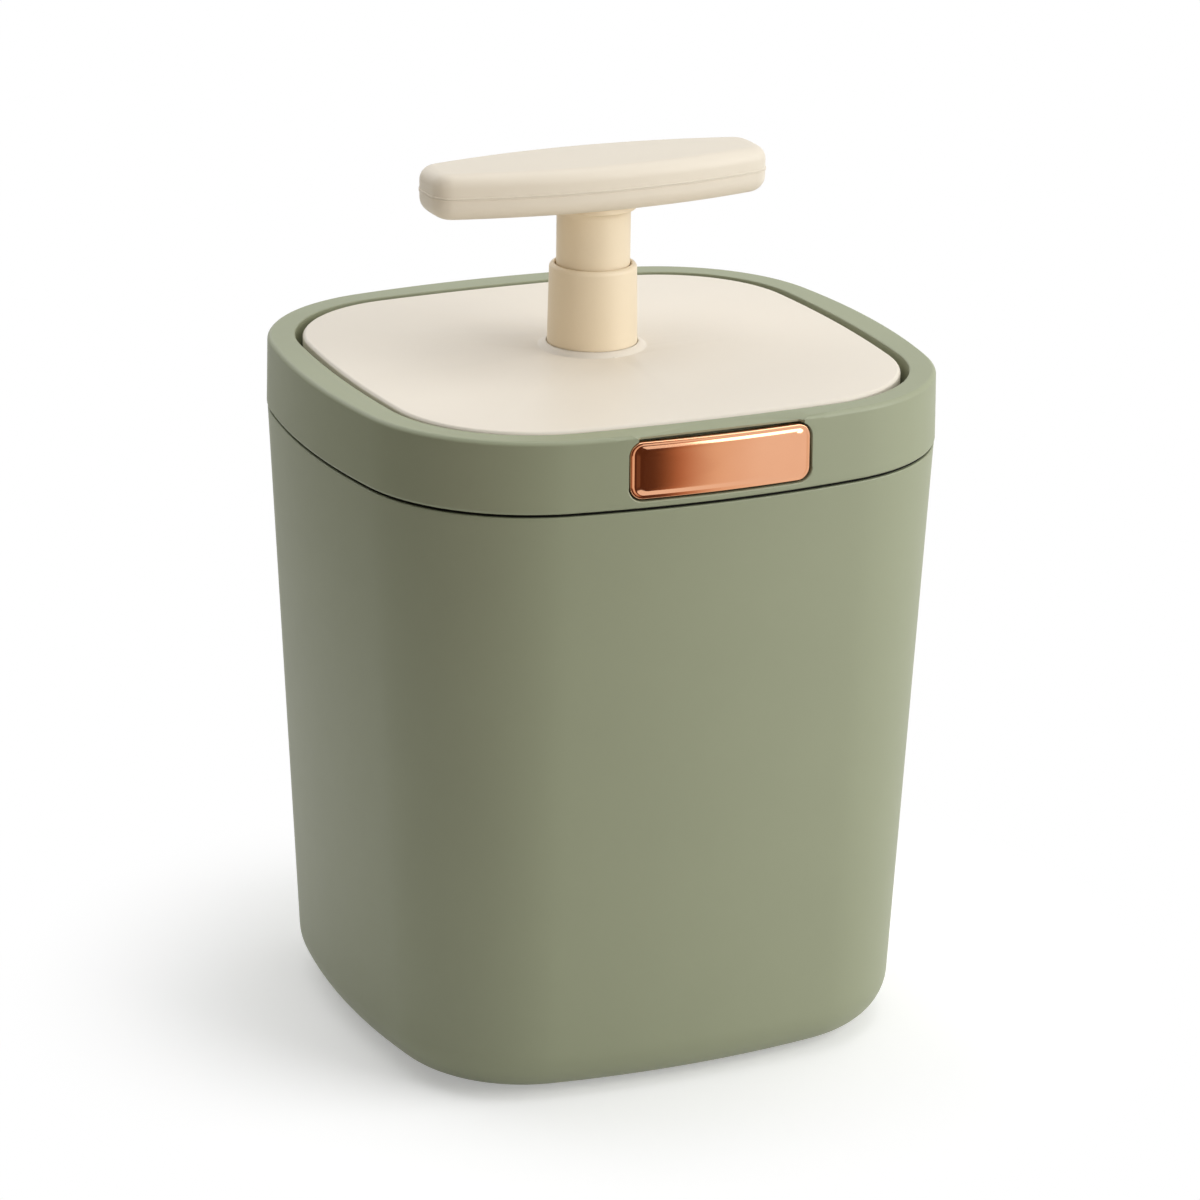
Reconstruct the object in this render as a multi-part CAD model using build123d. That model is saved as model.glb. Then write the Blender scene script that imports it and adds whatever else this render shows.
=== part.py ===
from build123d import *
from collections import namedtuple
import math
import os

# Countertop compost bin with a pressing plunger, in millimetres.
# Origin: middle of the underside, on the table. +X right, +Y to the hinge at the rear, +Z up.

# Body
body_width = 190.0          # at the seam
body_depth = 180.5          # at the seam
body_draft = 9.4            # the sides come in by this much down to the table
body_top = 189.0            # top of the body's lip
body_wall = 3.0
body_floor = 3.2
base_round = 15.0           # soft edge round the underside
band_wall = 4.6             # thicker band inside the mouth
band_height = 14.0
lip_wall = 1.5              # outer lip that hides the bucket's flange
lip_height = 4.2
edge_bevel = 0.6            # small bevels on both sides of the seam
inner_bevel = 7.5           # bevel round the floor inside

# Feet
foot_height = 0.8           # how far the pads stand out of the base
foot_depth = 1.2            # how deep they sit in the base
foot_radius = 7.0
foot_margin = 43.0          # from the seam's sides to a pad's middle
foot_fit = 0.05

# Bucket
bucket_gap = 0.8            # round the bucket, inside the band
bucket_lift = 3.0           # under the bucket
bucket_wall = 1.8
bucket_inner_bevel = 7.5    # round the inside of its floor
bucket_bevel = 9.0          # outside its floor
flange_thick = 2.4
flange_gap = 0.4            # between flange and lip
grip_reach = 9.0
grip_length = 46.0
grip_thick = 2.4
grip_drop = 15.0            # from the flange's top to the grip's top

# Collar ring
collar_height = 22.0
seam_gap = 0.8
collar_proud = 0.3          # the collar stands this far out of the body at the seam
collar_draft = 0.4          # and leans in by this much to its top
collar_bevel = 1.0          # soft edge round the top
collar_wall = 2.4
collar_land = 2.6
well_wall = 2.0
lid_gap = 2.5               # between lid and collar at the sides
well_shift = 0.4            # the lid stands this far behind the middle of its well: a narrow gap at the hinge

# Collar frame
seal_thick = 1.8
seal_width = 4.0
seal_margin = 0.8
frame_floor = 1.8
frame_gap = 0.2             # between frame and collar ring
skirt_gap = 0.5             # between skirt and bucket
skirt_wall = 1.8
skirt_depth = 8.0
gutter_depth = 16.4         # from the collar's top to the drip gutter's floor
gutter_floor = 2.2
mouth_margin_side = 5.6     # the mouth ring stands this far inside the lid's edge
mouth_margin_front = 16.0
mouth_wall = 2.2
mouth_rise = 7.4            # height of the mouth ring over the gutter

# Lid
lid_margin_side = 12.4      # from the body's outside at the seam to the lid's edge
lid_margin_front = 11.75
lid_drop = 0.1              # the lid lies this far below the collar's top
lid_thick = 2.6
lid_wall = 2.4
lid_skirt = 10.0            # height of the lid's edge
lid_bevel = 0.8
cove_radius = 2.8           # cove where the sleeve leaves the lid
cove_gap = 0.05
cove_lap = 1.0              # the cove's ring reaches this far in, to be bored out with the plate

# Hinge
hinge_back = 12.0           # axis ahead of the lid's rear edge
hinge_drop = 2.7            # axis below the lid's top, high so that the lid's rear swings clear of the collar
pin_radius = 1.0
pin_groove = 0.3            # round the pin, in the lid's underside
pin_press = 0.02
pin_running = 0.06
knuckle_radius = 2.6
knuckle_width = 8.0
knuckle_x = 28.0
post_radius = 1.8
post_width = 6.0
post_pocket_gap = 0.2       # over the posts, in the lid's underside
post_pocket_reach = 5.2     # behind the axis, for the swing
hinge_side_gap = 0.4
pin_overhang = 1.4

# Lid tray
tray_gap = 1.6              # between tray and mouth ring
tray_wall = 1.8
tray_floor = 2.0
tray_depth = 9.9            # below its flange
tray_flange = 2.0
tray_reach_side = 1.4       # the flange reaches this far past the mouth ring
tray_reach_front = 0.6
gasket_gap = 0.3            # over the mouth ring
gasket_thick = 2.0
gasket_overlap = 0.4        # past the mouth ring's outside

# Filter
filter_inner = 23.0
filter_margin = 8.4         # from the filter to the tray's rear wall
filter_thick = 8.0
filter_wall = 1.5
filter_gap = 0.4
filter_lid = 1.4
filter_vents = 8            # slits over the filter
filter_vent_margin = 3.75   # from a slit's ends to the filter's edges
filter_vent_width = 3.0
cover_thick = 1.8
cover_lip = 2.0
cover_slots = 16
cover_slot_width = 2.6

# Plunger: sleeve, stem and handle
plunger_y = 5.0             # the plunger stands behind the lid's centre
sleeve_height = 26.2
sleeve_foot_radius = 13.95
sleeve_top_radius = 13.5
sleeve_bevel = 1.0
sleeve_thread_radius = 13.1
sleeve_thread_fit = 0.05
sleeve_tail = 8.2           # below the lid's top
stem_radius = 11.35
stem_wall = 2.0
stem_running = 0.06
mouth_relief = 0.35
mouth_relief_depth = 1.2
ring_width = 1.2            # lathe-cut seal rings of square section
ring_gap = 0.08             # inside and outside a ring
ring_drops = (5.5, 19.0)    # below the sleeve's top
nut_across = 31.0           # across its flats
nut_thick = 4.4
handle_length = 110.6
handle_width = 33.6
handle_end_bow = 60.0
handle_side_bow = 200.0
handle_corner = 7.0
handle_rise = 19.0          # from the sleeve's top to the handle
handle_thick = 14.4
handle_low_thick = 7.2      # of the lower shell
handle_top_round = 4.2
handle_base_round = 5.0
handle_wall = 2.4
bead_proud = 0.25
bead_height = 0.8
handle_joint_gap = 0.04
socket_radius = 15.0
stem_flange_radius = 13.2
stem_flange_thick = 2.0
stem_cove = 1.9             # hollow flare where the stem meets the handle
stem_cove_rim = 0.3         # its upright edge
clamp_radius = 10.4
handle_screw_x = 34.0
handle_boss_radius = 3.4

# Press plate
press_margin_side = 14.0    # from the mouth ring's outside to the plate's edge
press_margin_front = 15.5
press_corner = 30.0
press_side_bow = 300.0
press_front_bow = 420.0
press_hang = 65.4           # from the lid's top to the plate's underside
press_thick = 2.4
press_bevel = 1.6
press_rim = 8.0
press_rim_wall = 2.0
hub_radius = 15.0
hub_height = 12.0
hub_floor = 3.0
stem_plug = 8.0
press_ribs = 8
press_rib_wall = 2.0
press_rib_height = 5.0
drain_ring = 27.0           # drain slits between the ribs
drain_length = 12.0
drain_width = 4.4
washer_radius = 8.0
washer_thick = 1.2

# Screws: shank radius, head radius, head thickness, length under the head
Screw = namedtuple("Screw", "shank head head_thick length")
small_screw = Screw(1.4, 2.6, 1.5, 6.0)
lid_screw = Screw(1.4, 2.7, 1.6, 8.0)
handle_screw = Screw(1.4, 2.6, 1.6, 8.5)
plate_screw_size = Screw(2.4, 4.2, 2.6, 9.0)
bridge_screw = Screw(1.0, 1.9, 0.5, 7.2)
head_taper = 0.8            # end of a head, against its seat
screw_fit = 0.08
screw_clearance = 0.3
screw_post_radius = 3.0
screw_post_height = 5.0
screw_post_cap = 1.0        # left above the screw's hole
side_screw_y = 28.0
front_screw_side = 15.0     # beside the button
screw_setback = 4.4         # from the well's wall to a screw's axis
lid_boss_radius = 3.2
lid_boss_margin_side = 21.0 # from the mouth ring's outside to a boss
lid_boss_margin_front = 22.5

# Button and latch
button_width = 58.0
button_height = 17.3
button_top_gap = 2.1        # from the collar's top to the button
button_corner = 4.0
button_thick = 2.4
button_inset = 0.1
button_frame = 2.0          # bright frame round the face
button_face_depth = 0.4
button_bevel = 1.1
button_gap = 0.5
button_travel = 2.6
pocket_depth = 6.2
pocket_floor = 1.8
pocket_side = 4.8
notch_inset = 2.4           # the notch over the button is this much narrower at each end
notch_back = 3.3            # from the collar's front to the notch's rear
notch_round = 1.6
ramp_drop = 1.0             # the land slopes down by this much to the notch
ramp_strip = 0.6            # level land left beside the well
ramp_flare = 1.8            # the ramp's slanted ends widen by this much to the top
cut_reach = 3.5             # cuts reach this far past a surface
slider_thick = 1.0
slider_margin = 1.6
arm_x = 16.0
arm_width = 8.0
arm_height = 3.4
arm_gap = 0.4
hook_wall = 2.5
hook_width = 40.0
hook_height = 11.2
nose_height = 2.4
nose_gap = 0.6              # from the nose to the lid's edge
nose_tip = 0.6              # thickness of the nose's tip
catch_gap = 0.7             # between hook and catch rib
catch_reach = 2.2
catch_height = 2.3
catch_lift = 0.3
catch_play = 0.25
catch_width = 36.0
catch_slope = 1.5           # bevel under the catch, so that the nose rides over it
bridge_thick = 1.0
bridge_gap = 0.3
bridge_width = 60.0
bridge_depth = 4.2
bridge_leg = 7.0
spring_radius = 2.3
spring_wire = 0.3
spring_turns = 5
spring_side_count = 8       # flats round the wire
spring_lift = 4.0           # above the gutter's floor
peg_radius = 1.5
peg_length = 1.6
spring_end_gap = 0.1

# Closed outlines made of four bowed sides and four corners, all tangent
Outline = namedtuple("Outline", "half_w half_d side_r front_r corner_r")

body_side_bow = 262.0
body_front_bow = 306.0
body_corner = 54.0
lid_side_bow = 416.0
lid_front_bow = 485.0
lid_corner = 42.5
mouth_side_bow = 400.0
mouth_front_bow = 480.0
mouth_corner = 36.0

seam = Outline(body_width / 2, body_depth / 2, body_side_bow, body_front_bow, body_corner)
lid = Outline(seam.half_w - lid_margin_side, seam.half_d - lid_margin_front, lid_side_bow, lid_front_bow, lid_corner)
mouth = Outline(lid.half_w - mouth_margin_side, lid.half_d - mouth_margin_front,
                mouth_side_bow, mouth_front_bow, mouth_corner)
tray_rim = Outline(mouth.half_w + tray_reach_side, mouth.half_d + tray_reach_front,
                   mouth_side_bow, mouth_front_bow, mouth_corner)
press = Outline(mouth.half_w - press_margin_side, mouth.half_d - press_margin_front,
                press_side_bow, press_front_bow, press_corner)
handle = Outline(handle_length / 2, handle_width / 2, handle_end_bow, handle_side_bow, handle_corner)


def inset(outline, by):
    """The same outline moved inwards: every arc keeps its centre."""
    return Outline(*(value - by for value in outline))


def between(low, high, share):
    """An outline part of the way from one to another."""
    return Outline(*(a + (b - a) * share for a, b in zip(low, high)))


def outline_face(outline, z):
    """Flat face inside the outline at height z."""
    ax = outline.half_w - outline.side_r
    by = outline.half_d - outline.front_r
    reach_a = outline.side_r - outline.corner_r
    reach_b = outline.front_r - outline.corner_r
    gap = math.hypot(ax, by)
    ux = -ax / gap
    uy = by / gap
    along = (reach_a ** 2 - reach_b ** 2 + gap ** 2) / (2 * gap)
    off = math.sqrt(reach_a ** 2 - along ** 2)
    px = ax + along * ux - off * uy
    py = along * uy + off * ux
    sx = ax + (px - ax) * outline.side_r / reach_a
    sy = py * outline.side_r / reach_a
    fx = px * outline.front_r / reach_b
    fy = by + (py - by) * outline.front_r / reach_b
    dx = (px - ax) / reach_a + px / reach_b
    dy = py / reach_a + (py - by) / reach_b
    size = math.hypot(dx, dy)
    mx = px + outline.corner_r * dx / size
    my = py + outline.corner_r * dy / size
    w = outline.half_w
    d = outline.half_d
    arcs = [
        ((sx, -sy), (w, 0), (sx, sy)),
        ((sx, sy), (mx, my), (fx, fy)),
        ((fx, fy), (0, d), (-fx, fy)),
        ((-fx, fy), (-mx, my), (-sx, sy)),
        ((-sx, sy), (-w, 0), (-sx, -sy)),
        ((-sx, -sy), (-mx, -my), (-fx, -fy)),
        ((-fx, -fy), (0, -d), (fx, -fy)),
        ((fx, -fy), (mx, -my), (sx, -sy)),
    ]
    wire = Wire([ThreePointArc(*((x, y, z) for x, y in arc)) for arc in arcs])
    return Face(wire)


def block(outline, low, high):
    """Straight prism of an outline between two heights."""
    return extrude(outline_face(outline, low), high - low)


def tapered(low_outline, low, high_outline, high):
    """Prism that runs straight from one outline to another."""
    return loft([outline_face(low_outline, low), outline_face(high_outline, high)], ruled=True)


def body_outline(z):
    """The body's outside at a height: it widens evenly from the table to the lip."""
    return inset(seam, body_draft * (1 - z / body_top))


def body_prism(by, low, high):
    """Tapered prism that follows the body's outside, moved inwards."""
    return tapered(inset(body_outline(low), by), low, inset(body_outline(high), by), high)


def slab(x0, x1, y0, y1, z0, z1):
    """Box between two corners."""
    return Pos((x0 + x1) / 2, (y0 + y1) / 2, (z0 + z1) / 2) * Box(x1 - x0, y1 - y0, z1 - z0)


def post(x, y, z0, z1, radius):
    """Upright cylinder."""
    return Pos(x, y, (z0 + z1) / 2) * Cylinder(radius, z1 - z0)


def tube(x, y, z0, z1, outer, inner):
    """Upright tube."""
    return post(x, y, z0, z1, outer) - post(x, y, z0, z1, inner)


def screw_up(x, y, head_top, size):
    """Screw driven upwards: its tapered head hangs below head_top."""
    head = Cone(size.head * head_taper, size.head, size.head_thick)
    return Pos(x, y, head_top - size.head_thick / 2) * head + post(x, y, head_top, head_top + size.length, size.shank)


def four(x, y):
    """The four places at plus and minus x and y."""
    return [(sx * x, sy * y) for sx in (-1, 1) for sy in (-1, 1)]


def front_at(outline, x):
    """Distance of the outline's bowed front from the middle, at x."""
    return outline.half_d - outline.front_r + math.sqrt(outline.front_r ** 2 - x ** 2)


def side_at(outline, y):
    """Distance of the outline's bowed side from the middle, at y."""
    return outline.half_w - outline.side_r + math.sqrt(outline.side_r ** 2 - y ** 2)


# Places that follow from the sizes above
foot_x = seam.half_w - foot_margin
foot_y = seam.half_d - foot_margin
floor_top = foot_height + body_floor
ledge = body_top - lip_height
flange_top = ledge + flange_thick
frame_bottom = flange_top + seal_thick
collar_bottom = body_top + seam_gap
collar_top = collar_bottom + collar_height
gutter_height = collar_top - gutter_depth
mouth_rim = gutter_height + mouth_rise
lid_top = collar_top - lid_drop
lid_under = lid_top - lid_thick
lid_bottom = lid_top - lid_skirt
hinge_y = lid.half_d - hinge_back
hinge_z = lid_top - hinge_drop
bucket_inset = band_wall + bucket_gap
bucket_inner = bucket_inset + bucket_wall
skirt_outer = bucket_inner + skirt_gap
collar_low = inset(seam, -collar_proud)
collar_high = inset(collar_low, collar_draft)
riser = inset(collar_low, collar_proud + skirt_outer)
well = inset(lid, -lid_gap)
mouth_inner = inset(mouth, mouth_wall)
tray_flange_bottom = mouth_rim + gasket_gap + gasket_thick
tray_bottom = tray_flange_bottom - tray_depth
filter_outer = mouth_inner.half_d - tray_gap - tray_wall - plunger_y - filter_margin
filter_slit = filter_outer - filter_inner - 2 * filter_vent_margin
lid_boss_x = mouth.half_w - lid_boss_margin_side
lid_boss_y = mouth.half_d - lid_boss_margin_front
sleeve_top = lid_top + sleeve_height
handle_bottom = sleeve_top + handle_rise
handle_parting = handle_bottom + handle_low_thick
handle_top_z = handle_bottom + handle_thick
press_bottom = lid_top - press_hang
press_top = press_bottom + press_rim
button_base = collar_top - button_top_gap - button_height
front_screw_x = button_width / 2 + front_screw_side
spring_height = gutter_height + spring_lift


def make_outer_body():
    body = body_prism(0, foot_height, body_top)
    body = fillet(body.edges().group_by(Axis.Z)[0], base_round)
    body = chamfer(body.edges().group_by(Axis.Z)[-1], edge_bevel)
    band_bottom = ledge - band_height
    step = band_wall - body_wall
    cavity = body_prism(body_wall, floor_top, band_bottom)
    cavity = chamfer(cavity.edges().group_by(Axis.Z)[0], inner_bevel)
    body -= cavity
    body -= tapered(inset(body_outline(band_bottom), body_wall), band_bottom,
                    inset(body_outline(band_bottom + step), band_wall), band_bottom + step)
    body -= body_prism(band_wall, band_bottom + step, body_top)
    body -= body_prism(lip_wall, ledge, body_top)
    for x, y in four(foot_x, foot_y):
        body -= post(x, y, foot_height, foot_height + foot_depth, foot_radius + foot_fit)
    return body


def make_feet():
    return [post(x, y, 0, foot_height + foot_depth, foot_radius) for x, y in four(foot_x, foot_y)]


def make_bucket():
    bottom = floor_top + bucket_lift
    inside = bottom + bucket_wall
    bucket = body_prism(bucket_inset, bottom, ledge)
    bucket = chamfer(bucket.edges().group_by(Axis.Z)[0], bucket_bevel)
    bucket += block(inset(seam, lip_wall + flange_gap), ledge, flange_top)
    cavity = body_prism(bucket_inner, inside, flange_top)
    cavity = chamfer(cavity.edges().group_by(Axis.Z)[0], bucket_inner_bevel)
    bucket -= cavity
    grip_top = flange_top - grip_drop
    grip_low = grip_top - grip_thick
    grip = body_prism(bucket_inset + bucket_wall / 2, grip_low, grip_top)
    grip -= body_prism(bucket_inner + grip_reach, grip_low, grip_top)
    grip &= slab(-body_width, body_width, -grip_length / 2, grip_length / 2, grip_low, grip_top)
    return bucket + grip


def make_collar_ring():
    outer = tapered(collar_low, collar_bottom, collar_high, collar_top)
    outer = chamfer(outer.edges().group_by(Axis.Z)[-1], collar_bevel)
    outer = chamfer(outer.edges().group_by(Axis.Z)[0], edge_bevel)
    outer -= well_block(0, collar_bottom, collar_top)
    hollow = tapered(inset(collar_low, collar_wall), collar_bottom,
                     inset(collar_high, collar_wall), collar_top - collar_land)
    hollow -= well_block(-well_wall, gutter_height, collar_top)
    ring = outer - hollow
    pocket_half = button_width / 2 + pocket_side
    pocket_low = frame_bottom + frame_floor + frame_gap
    solid = outer & slab(-pocket_half, pocket_half, -body_depth, 0, pocket_low, collar_top)
    solid -= block(inset(collar_low, pocket_depth + pocket_floor), collar_bottom, gutter_height)
    ring += solid
    for x, y, tx, ty in screw_places():
        ring += post(x, y, gutter_height, gutter_height + screw_post_height, screw_post_radius)
        web = slab(-screw_post_radius / 2, screw_post_radius / 2, 0, screw_setback + well_shift + well_wall / 2,
                   gutter_height, gutter_height + screw_post_height)
        turn = math.degrees(math.atan2(ty, tx)) - 90
        ring += Pos(x, y, 0) * Rot(0, 0, turn) * web
        ring -= post(x, y, gutter_height, gutter_height + screw_post_height - screw_post_cap,
                     small_screw.shank + screw_fit)
    ring -= button_shape(button_gap, pocket_depth)
    ring -= make_notch()
    for side in (-1, 1):
        ring -= slab(side * arm_x - arm_width / 2 - arm_gap, side * arm_x + arm_width / 2 + arm_gap,
                     -body_depth / 2, -well.half_d + well_wall, gutter_height, gutter_height + arm_height + 2 * arm_gap)
    return ring


def well_block(by, low, high):
    """Prism of the well that the lid lies in, moved inwards."""
    return Pos(0, -well_shift, 0) * block(inset(well, by), low, high)


def screw_places():
    """Collar screws: x, y and the way to the nearest wall of the well."""
    side_x = side_at(well, side_screw_y) - screw_setback
    front_y = front_at(well, front_screw_x) - screw_setback
    places = [(sx * side_x, sy * side_screw_y, sx, 0) for sx in (-1, 1) for sy in (-1, 1)]
    places += [(sx * front_screw_x, -front_y, 0, -1) for sx in (-1, 1)]
    return places


def button_prism(grow, depth_from, depth_to):
    """Rounded upright rectangle of the button, cut between two depths behind the collar's front."""
    width = button_width + 2 * grow
    height = button_height + 2 * grow
    middle = button_base + button_height / 2
    plan = Plane((0, 0, middle), x_dir=(1, 0, 0), z_dir=(0, -1, 0))
    prism = extrude(plan * RectangleRounded(width, height, button_corner + grow), body_depth)
    front = between(collar_low, collar_high, 0.5)
    low = middle - height
    high = middle + height
    prism &= block(inset(front, depth_from), low, high)
    return prism - block(inset(front, depth_to), low, high)


def button_shape(grow, depth):
    """Room for the button: open to the front and as deep as given."""
    return button_prism(grow, -cut_reach, depth)


def make_notch():
    """Notch that opens the button's pocket upwards, and the ramp that leads down to it."""
    half = button_width / 2 - notch_inset
    front = -(body_depth / 2 + collar_proud)
    back = front + notch_back
    notch = slab(-half, half, front - cut_reach, back, button_base + button_height - cut_reach, collar_top + cut_reach)
    notch = fillet(notch.edges().filter_by(Axis.Z).group_by(Axis.Y)[-1], notch_round)
    start = -(well.half_d + well_shift + ramp_strip)
    slope = ramp_drop / (start - back)
    low = collar_top - slope * (start - front + cut_reach)
    side = Polyline((0, start, collar_top), (0, front - cut_reach, low), (0, front - cut_reach, collar_top + cut_reach),
                    (0, start, collar_top + cut_reach), close=True)
    ramp = extrude(Face(Wire(side.edges())), 2 * half, dir=(1, 0, 0), both=True)
    rise = cut_reach * ramp_flare / ramp_drop
    ends = Polyline((-half, 0, collar_top - ramp_drop), (half, 0, collar_top - ramp_drop),
                    (half + ramp_flare + rise, 0, collar_top + cut_reach),
                    (-half - ramp_flare - rise, 0, collar_top + cut_reach), close=True)
    across = extrude(Face(Wire(ends.edges())), body_depth, dir=(0, -1, 0))
    across += slab(-half, half, -body_depth, 0, low, collar_top)
    return notch + (ramp & across)


def make_collar_frame():
    frame = block(inset(collar_low, collar_wall + frame_gap), frame_bottom, frame_bottom + frame_floor)
    frame += block(riser, frame_bottom, gutter_height)
    frame += body_prism(skirt_outer, flange_top - skirt_depth + seal_thick, frame_bottom)
    low = flange_top - skirt_depth
    frame -= block(inset(riser, skirt_wall), frame_bottom, gutter_height - gutter_floor)
    frame -= body_prism(skirt_outer + skirt_wall, low, frame_bottom)
    frame += block(mouth, gutter_height - gutter_floor, mouth_rim)
    frame -= block(mouth_inner, low, mouth_rim)
    for side in (-1, 1):
        x = side * (knuckle_x + knuckle_width / 2 + hinge_side_gap + post_width / 2)
        frame += slab(x - post_width / 2, x + post_width / 2, hinge_y - post_radius, hinge_y + post_radius,
                      gutter_height - gutter_floor / 2, hinge_z)
        frame += Pos(x, hinge_y, hinge_z) * Rot(0, 90, 0) * Cylinder(post_radius, post_width)
        frame -= Pos(x, hinge_y, hinge_z) * Rot(0, 90, 0) * Cylinder(pin_radius + pin_press, post_width)
    for x, y, tx, ty in screw_places():
        frame -= post(x, y, frame_bottom, gutter_height, small_screw.shank + screw_clearance)
    for x in (-bridge_screw_x(), bridge_screw_x()):
        frame -= post(x, bridge_y(), gutter_height - gutter_floor, gutter_height, bridge_screw.shank + screw_fit)
    peg = peg_length + mouth_wall / 2
    frame += Pos(0, -mouth.half_d - peg_length + peg / 2, spring_height) * Rot(90, 0, 0) * Cylinder(peg_radius, peg)
    return frame


def make_collar_seal():
    outside = inset(seam, lip_wall + flange_gap + seal_margin)
    return block(outside, flange_top, frame_bottom) - block(inset(outside, seal_width), flange_top, frame_bottom)


def make_collar_screws():
    return [screw_up(x, y, gutter_height - gutter_floor, small_screw) for x, y, tx, ty in screw_places()]


def make_hinge_pin():
    reach = knuckle_x + knuckle_width / 2 + hinge_side_gap + post_width + pin_overhang
    return Pos(0, hinge_y, hinge_z) * Rot(0, 90, 0) * Cylinder(pin_radius, 2 * reach)


def make_lid_plate():
    plate = block(lid, lid_bottom, lid_top)
    plate = chamfer(plate.edges().group_by(Axis.Z)[-1], lid_bevel)
    plate -= block(inset(lid, lid_wall), lid_bottom, lid_under)
    reach = knuckle_x + knuckle_width / 2 + hinge_side_gap + post_width + pin_overhang + hinge_side_gap
    plate -= slab(-reach, reach, hinge_y - knuckle_radius, body_depth, lid_bottom, lid_under)
    plate -= Pos(0, hinge_y, hinge_z) * Rot(0, 90, 0) * Cylinder(pin_radius + pin_groove, 2 * reach)
    pocket_inner = knuckle_x + knuckle_width / 2
    pocket_top = hinge_z + post_radius + post_pocket_gap
    for low, high in ((-reach, -pocket_inner), (pocket_inner, reach)):
        plate -= slab(low, high, hinge_y - post_radius - post_pocket_gap, hinge_y + post_pocket_reach,
                      lid_under, pocket_top)
    for side in (-1, 1):
        plate += Pos(side * knuckle_x, hinge_y, hinge_z) * Rot(0, 90, 0) * Cylinder(knuckle_radius, knuckle_width)
        plate -= Pos(side * knuckle_x, hinge_y, hinge_z) * Rot(0, 90, 0) * Cylinder(pin_radius + pin_running,
                                                                                knuckle_width)
    plate += make_cove(sleeve_foot_radius, cove_radius, lid_top, -lid_thick / 2)
    plate -= post(0, plunger_y, lid_bottom, lid_top, sleeve_thread_radius + sleeve_thread_fit)
    plate -= post(0, plunger_y, lid_top, lid_top + 2 * cove_radius, sleeve_foot_radius + cove_gap)
    for x, y in four(lid_boss_x, lid_boss_y):
        plate += post(x, y, tray_bottom + tray_floor, lid_under, lid_boss_radius)
        plate -= post(x, y, tray_bottom + tray_floor, tray_bottom + lid_screw.length, lid_screw.shank + screw_fit)
    rib_low = lid_bottom + catch_lift
    rib = slab(-catch_width / 2, catch_width / 2, -lid.half_d + lid_wall / 2, -lid.half_d + lid_wall + catch_reach,
               rib_low, rib_low + catch_height)
    rib = chamfer(rib.edges().filter_by(Axis.X).group_by(Axis.Y)[-1].group_by(Axis.Z)[0], catch_slope)
    return plate + rib


def make_cove(radius, size, foot, back):
    """Hollow flare round the plunger: from the radius out to its foot, filled back from the foot by the height given."""
    way = math.copysign(1, back)
    outer = radius + size
    with BuildSketch(Plane.XZ) as profile:
        with BuildLine():
            Polyline((radius, foot - way * size), (radius - cove_lap, foot - way * size), (radius - cove_lap, foot + back),
                     (outer, foot + back), (outer, foot))
            CenterArc((outer, foot - way * size), size, 180, -90 * way)
        make_face()
    return Pos(0, plunger_y, 0) * revolve(profile.sketch, Axis.Z)


def make_lid_tray():
    outside = inset(mouth_inner, tray_gap)
    inside = inset(outside, tray_wall)
    tray = block(outside, tray_bottom, tray_flange_bottom + tray_flange)
    tray += block(tray_rim, tray_flange_bottom, tray_flange_bottom + tray_flange)
    tray -= block(inside, tray_bottom + tray_floor, tray_flange_bottom + tray_flange)
    roof = tray_bottom + filter_thick + filter_gap
    wall_out = filter_outer + filter_gap + filter_wall
    wall_in = filter_inner - filter_gap - filter_wall
    tray += tube(0, plunger_y, tray_bottom, roof + filter_lid, wall_out, wall_in)
    tray -= tube(0, plunger_y, tray_bottom, roof, filter_outer + filter_gap, filter_inner - filter_gap)
    tray -= post(0, plunger_y, tray_bottom, roof + filter_lid, wall_in)
    vent_ring = (filter_inner + filter_outer) / 2
    for vent in PolarLocations(vent_ring, filter_vents):
        slit = Box(filter_slit, filter_vent_width, 2 * filter_lid)
        tray -= Pos(0, plunger_y, roof + filter_lid / 2) * vent * slit
    for x, y in four(lid_boss_x, lid_boss_y):
        tray -= post(x, y, tray_bottom, tray_bottom + tray_floor, lid_screw.shank + screw_clearance)
    return tray


def make_lid_gasket():
    low = mouth_rim + gasket_gap
    outside = inset(mouth, -gasket_overlap)
    inside = inset(mouth_inner, tray_gap)
    return block(outside, low, tray_flange_bottom) - block(inside, low, tray_flange_bottom)


def make_lid_screws():
    return [screw_up(x, y, tray_bottom, lid_screw) for x, y in four(lid_boss_x, lid_boss_y)]


def make_filter():
    return tube(0, plunger_y, tray_bottom, tray_bottom + filter_thick, filter_outer, filter_inner)


def make_filter_cover():
    cover = tube(0, plunger_y, tray_bottom - cover_thick, tray_bottom, filter_outer + filter_wall + cover_lip,
                 filter_inner - filter_wall - cover_lip / 2)
    middle = (filter_inner + filter_outer) / 2
    for place in PolarLocations(middle, cover_slots):
        slit = Box(filter_slit, cover_slot_width, 2 * cover_thick)
        cover -= Pos(0, plunger_y, tray_bottom - cover_thick / 2) * place * slit
    return cover


def make_sleeve():
    tail = lid_top - sleeve_tail
    barrel = Pos(0, plunger_y, (lid_top + sleeve_top) / 2) * Cone(sleeve_foot_radius, sleeve_top_radius,
                                                                  sleeve_top - lid_top)
    barrel = chamfer(barrel.edges().group_by(Axis.Z)[-1], sleeve_bevel)
    barrel += post(0, plunger_y, tail, lid_top, sleeve_thread_radius)
    barrel -= post(0, plunger_y, tail, sleeve_top, stem_radius + stem_running)
    barrel -= post(0, plunger_y, sleeve_top - mouth_relief_depth, sleeve_top, stem_radius + mouth_relief)
    for drop in ring_drops:
        low = sleeve_top - drop - ring_width / 2
        barrel -= post(0, plunger_y, low, low + ring_width, stem_radius + 2 * ring_gap + ring_width)
    return barrel


def make_stem_seals():
    inner = stem_radius + ring_gap
    lows = [sleeve_top - drop - ring_width / 2 for drop in ring_drops]
    return [tube(0, plunger_y, low, low + ring_width, inner + ring_width, inner) for low in lows]


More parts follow.
